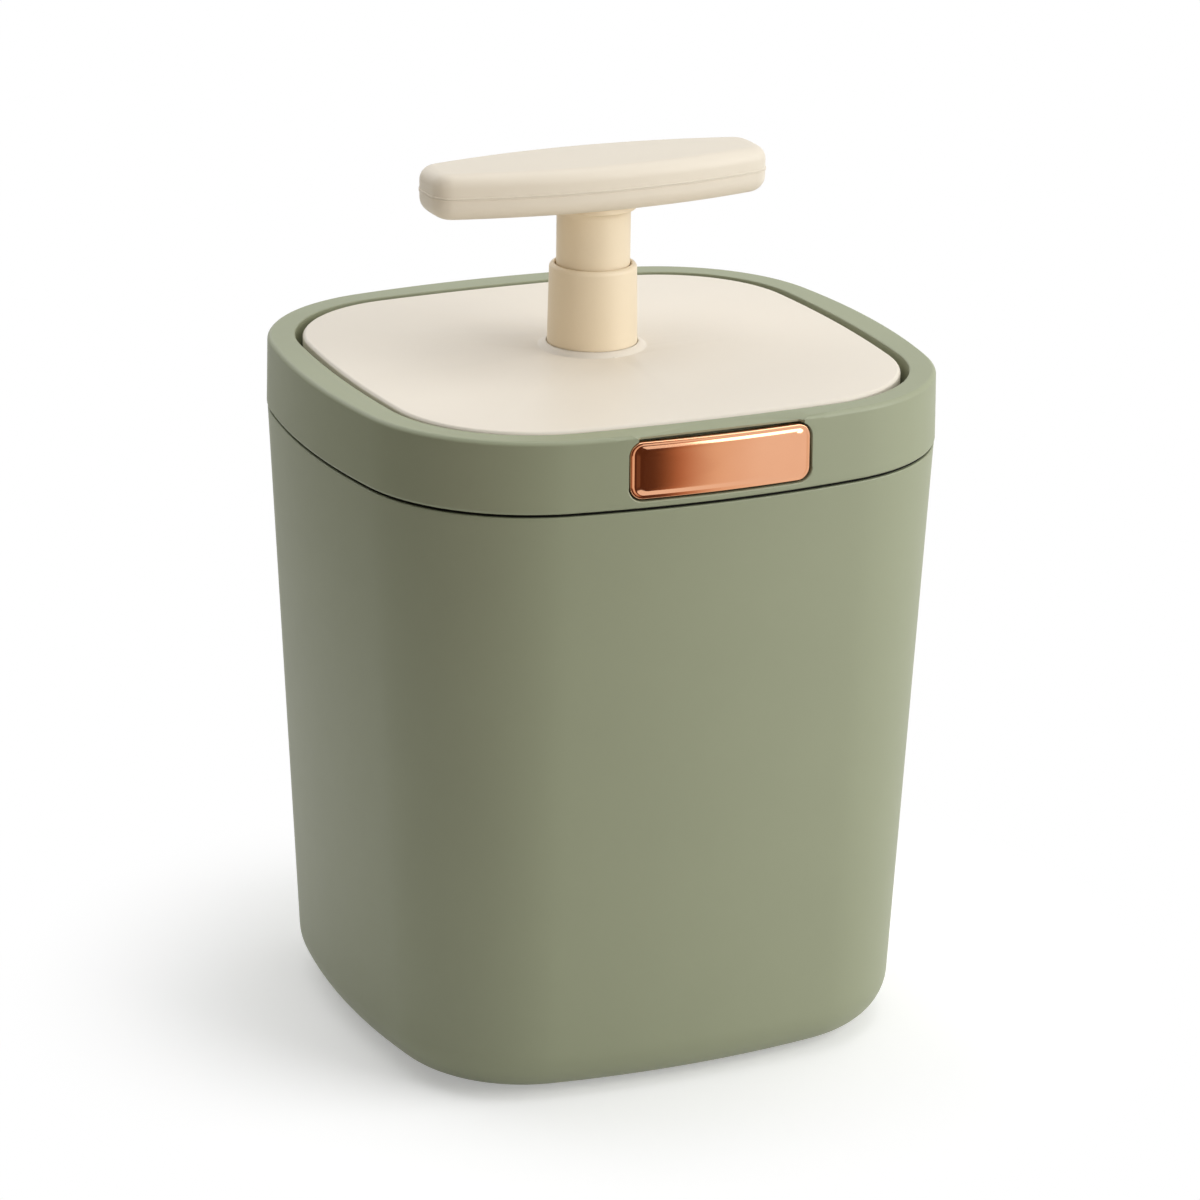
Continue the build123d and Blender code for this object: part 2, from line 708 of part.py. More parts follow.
def make_sleeve_nut():
    flats = Pos(0, plunger_y, lid_under - nut_thick) * RegularPolygon(nut_across / 2, 6, major_radius=False)
    nut = extrude(flats, nut_thick)
    return nut - post(0, plunger_y, lid_under - nut_thick, lid_under, sleeve_thread_radius + sleeve_thread_fit)


def make_stem():
    bottom = press_bottom + hub_floor
    flange_low = handle_parting - handle_joint_gap - stem_flange_thick
    stem = post(0, plunger_y, bottom, handle_parting - handle_joint_gap, stem_radius)
    stem += make_cove(stem_radius, stem_cove, handle_bottom - stem_cove_rim, stem_cove_rim)
    stem += post(0, plunger_y, flange_low, flange_low + stem_flange_thick, stem_flange_radius)
    stem -= post(0, plunger_y, bottom + stem_plug, handle_parting, stem_radius - stem_wall)
    stem -= post(0, plunger_y, bottom, bottom + stem_plug, plate_screw_size.shank + screw_fit)
    return stem


def handle_block(by, low, high):
    return Pos(0, plunger_y, 0) * block(inset(handle, by), low, high)


def make_handle_bottom():
    top = handle_parting - handle_joint_gap / 2
    shell = handle_block(0, handle_bottom, top)
    shell = fillet(shell.edges().group_by(Axis.Z)[0], handle_base_round)
    shell += handle_block(-bead_proud, top - bead_height / 2, top)
    shell -= handle_block(handle_wall, handle_bottom + handle_wall, top)
    shell += post(0, plunger_y, handle_bottom + handle_wall / 2, top, socket_radius)
    shell -= post(0, plunger_y, handle_bottom, top, stem_radius + stem_running)
    flange_low = handle_parting - handle_joint_gap - stem_flange_thick
    shell -= post(0, plunger_y, flange_low, top, stem_flange_radius + stem_running)
    for side in (-1, 1):
        x = side * handle_screw_x
        shell += post(x, plunger_y, handle_bottom + handle_wall / 2, top, handle_boss_radius)
        shell -= post(x, plunger_y, handle_bottom, top, handle_screw.shank + screw_clearance)
        shell -= post(x, plunger_y, handle_bottom, handle_bottom + handle_screw.head_thick,
                      handle_screw.head + screw_clearance)
    return shell


def make_handle_top():
    low = handle_parting + handle_joint_gap / 2
    shell = handle_block(0, low, handle_top_z)
    shell = fillet(shell.edges().group_by(Axis.Z)[-1], handle_top_round)
    shell += handle_block(-bead_proud, low, low + bead_height / 2)
    shell -= handle_block(handle_wall, low, handle_top_z - handle_wall)
    shell += tube(0, plunger_y, low, handle_top_z - handle_wall / 2, stem_flange_radius, clamp_radius)
    for side in (-1, 1):
        x = side * handle_screw_x
        shell += post(x, plunger_y, low, handle_top_z - handle_wall / 2, handle_boss_radius)
        shell -= post(x, plunger_y, low, handle_top_z - handle_wall, handle_screw.shank + screw_fit)
    return shell


def make_handle_screws():
    seat = handle_bottom + handle_screw.head_thick
    return [screw_up(side * handle_screw_x, plunger_y, seat, handle_screw) for side in (-1, 1)]


def press_block(by, low, high):
    return Pos(0, plunger_y, 0) * block(inset(press, by), low, high)


def make_press_plate():
    plate = press_block(0, press_bottom, press_top)
    plate = chamfer(plate.edges().group_by(Axis.Z)[0], press_bevel)
    plate -= press_block(press_rim_wall, press_bottom + press_thick, press_top)
    rib_top = press_bottom + press_thick + press_rib_height
    for turn in range(press_ribs):
        rib = slab(0, 2 * press.half_w, -press_rib_wall / 2, press_rib_wall / 2, press_bottom + press_thick, rib_top)
        rib = Pos(0, plunger_y, 0) * Rot(0, 0, turn * 360 / press_ribs) * rib
        plate += rib & press_block(press_rim_wall / 2, press_bottom, press_top)
    plate += post(0, plunger_y, press_bottom, press_bottom + hub_height, hub_radius)
    plate -= post(0, plunger_y, press_bottom + hub_floor, press_bottom + hub_height, stem_radius + stem_running)
    plate -= post(0, plunger_y, press_bottom, press_bottom + hub_floor, plate_screw_size.shank + screw_clearance)
    half_step = 180 / press_ribs
    for place in PolarLocations(drain_ring, press_ribs, start_angle=half_step):
        slit = Box(drain_length, drain_width, 2 * press_thick)
        plate -= Pos(0, plunger_y, press_bottom + press_thick / 2) * place * slit
    return plate


def make_washer():
    return tube(0, plunger_y, press_bottom - washer_thick, press_bottom, washer_radius,
                plate_screw_size.shank + screw_fit)


def make_plate_screw():
    return screw_up(0, plunger_y, press_bottom - washer_thick, plate_screw_size)


def make_button_face():
    face = button_prism(0, button_inset, button_thick)
    front = face.faces().sort_by(Axis.Y)[0]
    face = chamfer(front.edges(), button_bevel)
    recess = button_prism(-button_frame, -cut_reach, button_inset + button_face_depth)
    return face - recess


def arm_span():
    """Low and high edges of the slider's arms."""
    low = gutter_height + arm_gap
    return low, low + arm_height


def hook_front():
    return -(lid.half_d - lid_wall - catch_reach - catch_gap)


def bridge_y():
    return hook_front() - bridge_depth / 2 + hook_wall / 2 - button_travel


def bridge_screw_x():
    return (bridge_width - bridge_leg) / 2


def make_latch_slider():
    low, high = arm_span()
    slider = button_prism(-slider_margin, button_thick, button_thick + slider_thick)
    back = hook_front() + hook_wall
    plate_back = inset(between(collar_low, collar_high, 0.5), button_thick + slider_thick / 4)
    arm_front = -front_at(plate_back, arm_x + arm_width / 2)
    for side in (-1, 1):
        slider += slab(side * arm_x - arm_width / 2, side * arm_x + arm_width / 2, arm_front, back, low, high)
    slider += slab(-hook_width / 2, hook_width / 2, hook_front(), back, low, low + hook_height)
    nose_low = lid_bottom + catch_lift + catch_height + catch_play
    tip = -(lid.half_d - lid_wall - nose_gap)
    with BuildSketch(Plane.YZ) as profile:
        with BuildLine():
            Polyline((hook_front() + hook_wall / 2, nose_low), (tip, nose_low), (tip, nose_low + nose_tip),
                     (hook_front(), nose_low + nose_height), (hook_front() + hook_wall / 2, nose_low + nose_height),
                     close=True)
        make_face()
    slider += extrude(profile.sketch, hook_width / 2, both=True)
    slider += Pos(0, back + peg_length / 2, spring_height) * Rot(90, 0, 0) * Cylinder(peg_radius, peg_length)
    return slider


def make_latch_bridge():
    low, high = arm_span()
    y0 = bridge_y() - bridge_depth / 2
    y1 = bridge_y() + bridge_depth / 2
    top = high + bridge_gap + bridge_thick
    bridge = slab(-bridge_width / 2, bridge_width / 2, y0, y1, gutter_height, top)
    inner = bridge_width / 2 - bridge_leg
    bridge -= slab(-inner, inner, y0, y1, gutter_height, high + bridge_gap)
    for x in (-bridge_screw_x(), bridge_screw_x()):
        bridge -= post(x, bridge_y(), gutter_height, top, bridge_screw.shank + screw_clearance)
    return bridge


def make_latch_screws():
    low, high = arm_span()
    seat = high + bridge_gap + bridge_thick
    screws = []
    for x in (-bridge_screw_x(), bridge_screw_x()):
        head = post(x, bridge_y(), seat, seat + bridge_screw.head_thick, bridge_screw.head)
        screws.append(head + post(x, bridge_y(), seat - bridge_screw.length, seat, bridge_screw.shank))
    return screws


def make_latch_spring():
    start = hook_front() + hook_wall + spring_end_gap + spring_wire
    end = -mouth.half_d - spring_end_gap - spring_wire
    length = end - start
    pitch = length / spring_turns
    helix = Helix(pitch, length, spring_radius)
    wire = Plane(helix @ 0, z_dir=helix % 0) * RegularPolygon(spring_wire, spring_side_count)
    coil = sweep(wire, helix)
    print("latch spring: least gap between turns", round(pitch - 2 * spring_wire, 2), "mm")
    return Pos(0, start, spring_height) * Rot(-90, 0, 0) * coil


parts = {
    "outer_body": make_outer_body,
    "rubber_feet": make_feet,
    "inner_bucket": make_bucket,
    "collar_ring": make_collar_ring,
    "collar_frame": make_collar_frame,
    "collar_seal": make_collar_seal,
    "collar_screws": make_collar_screws,
    "hinge_pin": make_hinge_pin,
    "lid_plate": make_lid_plate,
    "lid_tray": make_lid_tray,
    "lid_gasket": make_lid_gasket,
    "lid_screws": make_lid_screws,
    "charcoal_filter": make_filter,
    "filter_cover": make_filter_cover,
    "plunger_sleeve": make_sleeve,
    "stem_seals": make_stem_seals,
    "sleeve_nut": make_sleeve_nut,
    "plunger_stem": make_stem,
    "handle_bottom": make_handle_bottom,
    "handle_top": make_handle_top,
    "handle_screws": make_handle_screws,
    "press_plate": make_press_plate,
    "plate_washer": make_washer,
    "plate_screw": make_plate_screw,
    "button_face": make_button_face,
    "latch_slider": make_latch_slider,
    "latch_bridge": make_latch_bridge,
    "latch_screws": make_latch_screws,
    "latch_spring": make_latch_spring,
}

os.makedirs("parts", exist_ok=True)
for name, make in parts.items():
    shape = make()
    if isinstance(shape, list):
        shape = Compound(children=shape)
    export_step(shape, "parts/" + name + ".step")
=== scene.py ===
import math

import bmesh
import bpy
import numpy as np
from mathutils import Matrix, Vector


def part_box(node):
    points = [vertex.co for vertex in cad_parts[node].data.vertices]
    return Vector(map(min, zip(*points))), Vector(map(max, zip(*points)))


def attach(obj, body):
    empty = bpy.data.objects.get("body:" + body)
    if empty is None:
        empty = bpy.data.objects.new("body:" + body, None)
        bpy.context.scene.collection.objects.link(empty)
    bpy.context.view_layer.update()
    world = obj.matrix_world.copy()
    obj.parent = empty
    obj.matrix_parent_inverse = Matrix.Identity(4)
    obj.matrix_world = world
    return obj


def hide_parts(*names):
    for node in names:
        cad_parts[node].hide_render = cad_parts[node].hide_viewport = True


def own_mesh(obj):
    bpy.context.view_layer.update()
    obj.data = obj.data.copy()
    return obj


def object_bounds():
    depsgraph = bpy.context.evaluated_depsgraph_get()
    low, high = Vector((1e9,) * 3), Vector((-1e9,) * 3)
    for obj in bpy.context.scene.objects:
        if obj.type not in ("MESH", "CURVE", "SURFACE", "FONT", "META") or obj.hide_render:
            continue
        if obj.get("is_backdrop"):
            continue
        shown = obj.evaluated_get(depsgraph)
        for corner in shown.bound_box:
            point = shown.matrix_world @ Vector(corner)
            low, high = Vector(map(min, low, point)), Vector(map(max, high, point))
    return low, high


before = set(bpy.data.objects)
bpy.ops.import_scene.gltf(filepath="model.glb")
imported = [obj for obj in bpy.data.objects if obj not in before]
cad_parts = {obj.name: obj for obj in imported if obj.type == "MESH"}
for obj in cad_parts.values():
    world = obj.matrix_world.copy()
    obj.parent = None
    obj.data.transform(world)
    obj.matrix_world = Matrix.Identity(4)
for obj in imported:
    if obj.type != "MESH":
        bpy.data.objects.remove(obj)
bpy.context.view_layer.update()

# Outer body: one moulded shell of matte sage plastic, soft at the foot and open at the top.
# Its wall leans out evenly from the table to the seam, where a thin lip stands round the
# bucket's flange. Everything else hangs in it or stands on it.
MM = 0.001


def outline(half_w, half_d, side_bow, front_bow, corner, per_arc=14):
    """Closed outline of four bowed sides and four corners, all tangent.

    A point is its arc's centre plus the arc's radius along the direction t. The side's centre
    lies on the X axis, the front's on the Y axis, and the corner's where the circles of radius
    bow minus corner about those two cross. The direction t is also the outward normal, so the
    outline moved in by a distance is the point minus that distance along t. One quarter is
    worked out and mirrored. Returns points and normals, each (count, 2), anticlockwise.
    """
    side_x = half_w - side_bow
    front_y = half_d - front_bow
    gap = math.hypot(side_x, front_y)
    reach_side = side_bow - corner
    reach_front = front_bow - corner
    along = (reach_side ** 2 - reach_front ** 2 + gap ** 2) / (2 * gap)
    off = math.sqrt(reach_side ** 2 - along ** 2)
    corner_x = side_x - (side_x * along + front_y * off) / gap
    corner_y = (front_y * along - side_x * off) / gap
    first = math.atan2(corner_y, corner_x - side_x)
    last = math.atan2(corner_y - front_y, corner_x)
    t = np.concatenate([np.linspace(0, first, per_arc)[:-1],
                        np.linspace(first, last, 2 * per_arc)[:-1],
                        np.linspace(last, math.pi / 2, per_arc)])
    on_side = t < first
    on_front = t >= last
    x = np.select([on_side, on_front], [side_x + side_bow * np.cos(t), front_bow * np.cos(t)],
                  corner_x + corner * np.cos(t))
    y = np.select([on_side, on_front], [side_bow * np.sin(t), front_y + front_bow * np.sin(t)],
                  corner_y + corner * np.sin(t))
    quarter = np.stack([x, y, np.cos(t), np.sin(t)], axis=1)
    mirror_x = quarter[::-1][1:] * [-1, 1, -1, 1]
    half = np.concatenate([quarter, mirror_x])
    other_half = half[1:-1] * -1
    loop = np.concatenate([half, other_half])
    return loop[:, :2], loop[:, 2:]


def arc(centre_in, centre_z, radius, start, end, steps=7):
    """Points of a profile on a circle, between two angles in degrees (0 outwards, 90 up).

    A profile's first number is the distance inwards from the outline, so outwards is negative.
    """
    a = np.radians(np.linspace(start, end, steps))
    return np.stack([centre_in - radius * np.cos(a), centre_z + radius * np.sin(a)], axis=1)


def closed_grid(rows, ends=(True, True)):
    """Points and faces of a (rows, count, 3) grid that is closed round each row.

    Quads join each row to the next, anticlockwise seen from outside when the rows go up.
    A closed end gets a point in its row's middle and a fan of triangles.
    """
    rows = np.asarray(rows, float)
    height, count, _ = rows.shape
    index = np.arange(height * count).reshape(height, count)
    ahead = np.roll(index, -1, axis=1)
    quads = np.stack([index[:-1], ahead[:-1], ahead[1:], index[1:]], axis=-1)
    faces = quads.reshape(-1, 4).tolist()
    points = [rows.reshape(-1, 3)]
    for end, row in zip(ends, (0, height - 1)):
        if end:
            middle = np.full(count, sum(map(len, points)))
            points.append(rows[row].mean(axis=0, keepdims=True))
            ring = (ahead[row], index[row]) if row == 0 else (index[row], ahead[row])
            faces += np.stack([*ring, middle], axis=-1).tolist()
    return np.concatenate(points), faces


def carried(shape, profile, ends=(True, True)):
    """Shell of a profile carried round an outline.

    The point at (u, v) is the outline's point u, moved in along its normal by the profile's
    first number at v, at the height of its second number. All numbers come in millimetres.
    """
    points, normals = shape
    profile = np.concatenate([np.atleast_2d(part) for part in profile])
    plan = points[None] - profile[:, 0, None, None] * normals[None]
    z = np.broadcast_to(profile[:, 1, None, None], plan.shape[:2] + (1,))
    return closed_grid(np.concatenate([plan, z], axis=2) * MM, ends)


def piece_of(name, shells, sharp=40):
    """One object from several shells, each given as points and faces.

    It is shaded smooth, except over edges sharper than an angle in degrees.
    """
    points = np.concatenate([shell[0] for shell in shells])
    starts = np.cumsum([0] + [len(shell[0]) for shell in shells]).tolist()
    faces = [[corner + start for corner in face]
             for shell, start in zip(shells, starts) for face in shell[1]]
    mesh = bpy.data.meshes.new(name)
    mesh.from_pydata(points.tolist(), [], faces)
    mesh.polygons.foreach_set("use_smooth", np.ones(len(mesh.polygons), bool))
    mesh.set_sharp_from_angle(angle=math.radians(sharp))
    piece = bpy.data.objects.new(name, mesh)
    bpy.context.scene.collection.objects.link(piece)
    weighted = piece.modifiers.new("even shading", "WEIGHTED_NORMAL")
    weighted.keep_sharp = True
    return piece


def feed(tree, socket, value):
    """Sets a socket to a plain number, or links it to another node's output."""
    if isinstance(value, (int, float)):
        socket.default_value = value
    else:
        tree.links.new(value, socket)


def maths(tree, operation, *values):
    """The result of a Math node, its values set or linked in order."""
    node = tree.nodes.new("ShaderNodeMath")
    node.operation = operation
    for socket, value in zip(node.inputs, values):
        feed(tree, socket, value)
    return node.outputs[0]


def noise(tree, vector, scale, detail=2.0, rough=0.5):
    """Cloudy value from 0 to 1, with so many clouds per metre and so many finer layers."""
    node = tree.nodes.new("ShaderNodeTexNoise")
    tree.links.new(vector, node.inputs["Vector"])
    for socket, value in (("Scale", scale), ("Detail", detail), ("Roughness", rough)):
        feed(tree, node.inputs[socket], value)
    return node.outputs["Fac"]


def remap(tree, value, low, high):
    """The value, from 0 to 1, spread evenly between low and high."""
    node = tree.nodes.new("ShaderNodeMapRange")
    tree.links.new(value, node.inputs["Value"])
    feed(tree, node.inputs["To Min"], low)
    feed(tree, node.inputs["To Max"], high)
    return node.outputs["Result"]


def effect_group(name, inputs, outputs):
    """Empty node group with the named sockets, and its input and output nodes."""
    group = bpy.data.node_groups.new(name, "ShaderNodeTree")
    for label, kind, value in inputs:
        socket = group.interface.new_socket(label, in_out="INPUT",
                                            socket_type="NodeSocket" + kind)
        socket.default_value = value
    for label, kind in outputs:
        group.interface.new_socket(label, in_out="OUTPUT", socket_type="NodeSocket" + kind)
    return group, group.nodes.new("NodeGroupInput"), group.nodes.new("NodeGroupOutput")


# moulded plastic: a fine even grain from the mould turns the normal, slow clouds scale the
# colour between 1 minus and 1 plus their strength, and finer ones add to the roughness
gloss_spread, clouds_per_metre, gloss_per_metre, grain_depth = 0.05, 26.0, 140.0, 0.06 * MM
grain, grain_in, grain_out = effect_group(
    "moulded grain",
    [("Colour", "Color", (0.5, 0.5, 0.5, 1)), ("Cloud", "Float", 0.03),
     ("Gloss spread", "Float", gloss_spread), ("Roughness", "Float", 0.5),
     ("Grain per metre", "Float", 2600.0), ("Grain strength", "Float", 0.2)],
    [("Colour", "Color"), ("Roughness", "Float"), ("Normal", "Vector")])
place = grain.nodes.new("ShaderNodeTexCoord").outputs["Object"]
darkest = maths(grain, "SUBTRACT", 1.0, grain_in.outputs["Cloud"])
lightest = maths(grain, "ADD", 1.0, grain_in.outputs["Cloud"])
tint = grain.nodes.new("ShaderNodeVectorMath")
tint.operation = "SCALE"
grain.links.new(grain_in.outputs["Colour"], tint.inputs[0])
grain.links.new(remap(grain, noise(grain, place, clouds_per_metre, 3.0), darkest, lightest),
                tint.inputs["Scale"])
grain.links.new(tint.outputs["Vector"], grain_out.inputs["Colour"])
gloss = maths(grain, "MULTIPLY_ADD", noise(grain, place, gloss_per_metre),
              grain_in.outputs["Gloss spread"], grain_in.outputs["Roughness"])
grain.links.new(gloss, grain_out.inputs["Roughness"])
bump = grain.nodes.new("ShaderNodeBump")
bump.inputs["Distance"].default_value = grain_depth
grain.links.new(grain_in.outputs["Grain strength"], bump.inputs["Strength"])
grain.links.new(noise(grain, place, grain_in.outputs["Grain per metre"], 2.0, 0.6),
                bump.inputs["Height"])
grain.links.new(bump.outputs["Normal"], grain_out.inputs["Normal"])


def srgb(r, g, b):
    """Linear colour of an sRGB triple from 0 to 255."""
    c = np.array([r, g, b]) / 255
    return (*np.where(c <= 0.04045, c / 12.92, ((c + 0.055) / 1.055) ** 2.4), 1.0)


def surface(name, effect, outputs, **values):
    """Material whose plain shader is fed by a node group, and that shader.

    The group's outputs go to the shader's sockets named beside them. The values are the
    group's, an underscore in a name standing for a space.
    """
    material = bpy.data.materials.new(name)
    material.use_nodes = True
    tree = material.node_tree
    shader = tree.nodes["Principled BSDF"]
    skin = tree.nodes.new("ShaderNodeGroup")
    skin.node_tree = effect
    for label, value in values.items():
        skin.inputs[label.replace("_", " ")].default_value = value
    for label, socket in outputs:
        tree.links.new(skin.outputs[label], shader.inputs[socket])
    return material, shader


def plastic(name, colour, roughness=0.5, cloud=0.03, grain_size=2600.0, strength=0.2,
            specular=0.5):
    """Moulded plastic: the grain group varies its colour, gloss and normal."""
    material, shader = surface(
        name, grain,
        [("Colour", "Base Color"), ("Roughness", "Roughness"), ("Normal", "Normal")],
        Colour=colour, Cloud=cloud, Roughness=roughness - gloss_spread / 2,
        Grain_per_metre=grain_size, Grain_strength=strength)
    shader.inputs["Specular IOR Level"].default_value = specular
    return material


def fit(piece, material, body, slot, *nodes):
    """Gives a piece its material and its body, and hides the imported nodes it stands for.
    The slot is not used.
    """
    piece.data.materials.clear()
    piece.data.materials.append(material)
    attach(piece, body)
    if nodes:
        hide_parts(*nodes)
    return piece


sage = plastic("sage plastic", srgb(147, 152, 122), roughness=0.5, specular=0.7)
seam_w, seam_d, side_bow, front_bow, corner_r = 95.0, 90.25, 262.0, 306.0, 54.0
seam_line = outline(seam_w, seam_d, side_bow, front_bow, corner_r)
body_top, ledge, draft = 189.0, 184.8, 9.4
foot_z, floor_z = 0.8, 4.0


def lean(z):
    """How far the wall stands inside the seam's outline at a height."""
    return draft * (1 - z / body_top)


def wall(inside, *heights):
    """Points of the leaning wall, moved in by a distance, at the given heights."""
    return [(lean(z) + inside, z) for z in heights]


foot_round, foot_flat, floor_round = 15.0, 12.0, 12.0
lip_round, lip_inner_round, lip_thick, wall_thick = 0.4, 0.3, 1.5, 3.0
ledge_in, ledge_soft, ledge_low, ledge_end = 4.6, 0.3, 12.4, 14.0
slope = math.degrees(math.atan(draft / body_top))
foot_centre = (lean(foot_z + foot_round) + foot_round, foot_z + foot_round)
floor_centre = floor_z + floor_round
# under the foot, up the wall, over the lip, down to the ledge and inside to the floor
shell_profile = [
    [(foot_centre[0] + foot_flat, foot_z)],
    arc(*foot_centre, foot_round, -90, -slope, 14),
    wall(0, 60.0, 120.0, body_top - 2.0),
    arc(lean(body_top) + lip_round, body_top - lip_round, lip_round, 0, 90, 5),
    arc(lean(body_top) + lip_thick - lip_inner_round, body_top - lip_inner_round,
        lip_inner_round, 90, 180, 4),
    wall(lip_thick, ledge), wall(ledge_in - ledge_soft, ledge),
    wall(ledge_in, ledge - ledge_soft, ledge - ledge_low),
    wall(wall_thick, ledge - ledge_end, 90.0, 24.0),
    arc(lean(floor_centre) + wall_thick + floor_round, floor_centre, floor_round, 0, -90, 8),
]
outer_body = piece_of("outer_body_shell", [carried(seam_line, shell_profile)])
fit(outer_body, sage, "bin", "sage_plastic", "outer_body")

# Feet: four round pads of dark rubber, pressed into shallow sockets under the body.
# They stand out by less than a millimetre and carry the whole bin.


def turned(x, y, profile, count=48, ends=(True, True)):
    """Shell of a profile of (radius, height) turned about an upright line at x and y.

    The point at (u, v) stands at the profile's radius v from the line, in the direction u.
    All numbers come in millimetres.
    """
    profile = np.concatenate([np.atleast_2d(part) for part in profile])
    u = np.linspace(0, 2 * math.pi, count, endpoint=False)
    rows = np.stack([x + profile[:, :1] * np.cos(u), y + profile[:, :1] * np.sin(u),
                     np.broadcast_to(profile[:, 1:2], (len(profile), count))], axis=2)
    return closed_grid(rows * MM, ends)


rubber = plastic("foot rubber", srgb(46, 46, 44), roughness=0.8, cloud=0.08,
                 grain_size=1500.0, strength=0.5)
foot_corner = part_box("rubber_feet")[1] / MM
foot_radius, pad_flat, pad_edge, pad_soft, pad_top, pad_neck = 7.0, 1.6, 0.35, 0.1, 2.0, 1.0
pad = [(foot_radius - pad_flat, 0.0), (foot_radius - pad_edge, 0.0),
       (foot_radius - pad_soft, pad_soft), (foot_radius, pad_edge),
       (foot_radius, pad_top), (foot_radius - pad_neck, pad_top)]
feet = piece_of("rubber_pads", [
    turned(side_x * (foot_corner.x - foot_radius), side_y * (foot_corner.y - foot_radius), pad)
    for side_x in (-1, 1) for side_y in (-1, 1)])
fit(feet, rubber, "bin", "rubber", "rubber_feet")

# Inner bucket: a thin grey-green liner that lifts out, hung by its flange on the body's ledge.
# It keeps the mould's softened edges, and inside it has two finger ledges near the top.


def softened(node, name, edge=0.3, sharp=28, where=None, quartered=False):
    """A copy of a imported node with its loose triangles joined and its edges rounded.

    Where a test for points is given, only the edges inside it are rounded, to the full width.
    A quartered copy has its ring-shaped flats cut in four, so that no face goes round a hole.
    """
    join_gap, cut_gap, flat_turn = 0.002 * MM, 0.02 * MM, math.radians(0.3)
    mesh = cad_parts[node].data.copy()
    mesh.name = name
    build = bmesh.new()
    build.from_mesh(mesh)
    bmesh.ops.remove_doubles(build, verts=build.verts, dist=join_gap)
    if quartered:
        spots = np.array([corner.co for corner in build.verts])
        middle = (spots.min(axis=0) + spots.max(axis=0)) / 2
        for way in ((1, 0, 0), (0, 1, 0)):
            everything = build.verts[:] + build.edges[:] + build.faces[:]
            cut = bmesh.ops.bisect_plane(build, geom=everything, dist=cut_gap,
                                         plane_co=middle, plane_no=way)
            for line in cut["geom_cut"]:
                if isinstance(line, bmesh.types.BMEdge):
                    line.seam = True
    bmesh.ops.dissolve_limit(build, angle_limit=flat_turn, verts=build.verts,
                             edges=build.edges, delimit={"SEAM"})
    if where:
        chosen = [line for line in build.edges if line.calc_face_angle(0) > math.radians(sharp)
                  and all(where(*(corner.co / MM)) for corner in line.verts)]
        bmesh.ops.bevel(build, geom=chosen, offset=edge * MM, segments=3, profile=0.5,
                        affect="EDGES", clamp_overlap=False)
    build.to_mesh(mesh)
    build.free()
    mesh.materials.clear()
    mesh.polygons.foreach_set("use_smooth", np.ones(len(mesh.polygons), bool))
    mesh.set_sharp_from_angle(angle=math.radians(sharp))
    piece = bpy.data.objects.new(name, mesh)
    bpy.context.scene.collection.objects.link(piece)
    if edge and not where:
        bevel = piece.modifiers.new("soft edges", "BEVEL")
        bevel.width = edge * MM
        bevel.segments = 2
        bevel.limit_method = "ANGLE"
        bevel.angle_limit = math.radians(sharp)
        bevel.harden_normals = True
    return piece


liner_plastic = plastic("liner plastic", srgb(118, 122, 108), roughness=0.42, grain_size=1800.0)
bucket = softened("inner_bucket", "bucket_liner", 0.4)
fit(bucket, liner_plastic, "bucket", "bucket_plastic", "inner_bucket")

# Collar ring: the moulded rim of the same sage plastic, with a round outer shoulder, a flat
# land and a straight well for the lid. The pocket for the button, and the scoop over it, are
# cut in its front.
collar_foot, collar_top = 189.8, 211.8
collar_low_w, collar_low_d, collar_lean = 95.3, 90.55, 0.4
pocket_x, notch_z, notch_y = 33.0, 204.5, -76.0


def off_notch(x, y, z):
    """Whether a point of the ring is clear of the scoop over the button."""
    return abs(x) > pocket_x or y > notch_y or z < notch_z


def spots_of(mesh):
    """A mesh's points in millimetres, as an array of (count, 3)."""
    spots = np.empty(len(mesh.vertices) * 3)
    mesh.vertices.foreach_get("co", spots)
    return spots.reshape(-1, 3) / MM


def evened(piece, shape, least_alike=0.55, on_surface=0.995):
    """Gives a ring's outer wall and flat top their exact normals, so that no facet shows.

    The direction of a wall point is that of the outline's normal next to it, turned up by the
    wall's lean. A corner of a face takes the wall's or the top's normal where its vertex lies
    on either and the face's own direction is not too far off.
    """
    mesh = piece.data
    spots = spots_of(mesh)
    flats = np.empty(len(mesh.polygons) * 3)
    mesh.polygons.foreach_get("normal", flats)
    flats = flats.reshape(-1, 3)
    sizes = np.empty(len(mesh.polygons), int)
    mesh.polygons.foreach_get("loop_total", sizes)
    face_of = np.repeat(np.arange(len(sizes)), sizes)
    spot_of = np.empty(len(mesh.loops), int)
    mesh.loops.foreach_get("vertex_index", spot_of)
    points, normals = shape
    apart = np.hypot(*(spots[:, None, :2] - points[None]).transpose(2, 0, 1))
    near = np.argmin(apart, axis=1)
    rise = np.full(len(near), collar_lean / (collar_top - collar_foot))
    out = np.column_stack([normals[near], rise])
    out /= np.linalg.norm(out, axis=1, keepdims=True)
    up = np.broadcast_to([0.0, 0.0, 1.0], out.shape)
    chosen = np.zeros((len(spot_of), 3))
    best = np.full(len(spot_of), least_alike)
    for way in (out, up):
        alike = (flats[face_of] * way[spot_of]).sum(axis=1)
        on_it = np.zeros(len(spots), bool)
        on_it[spot_of[alike > on_surface]] = True
        takes = on_it[spot_of] & (alike > best)
        chosen[takes] = way[spot_of][takes]
        best = np.where(takes, alike, best)
    mesh.normals_split_custom_set(chosen.tolist())


collar_ring = softened("collar_ring", "collar_rim", 0.45, where=off_notch, quartered=True)
evened(collar_ring, outline(collar_low_w, collar_low_d, side_bow, front_bow, corner_r, 200))
fit(collar_ring, sage, "collar", "sage_plastic", "collar_ring")

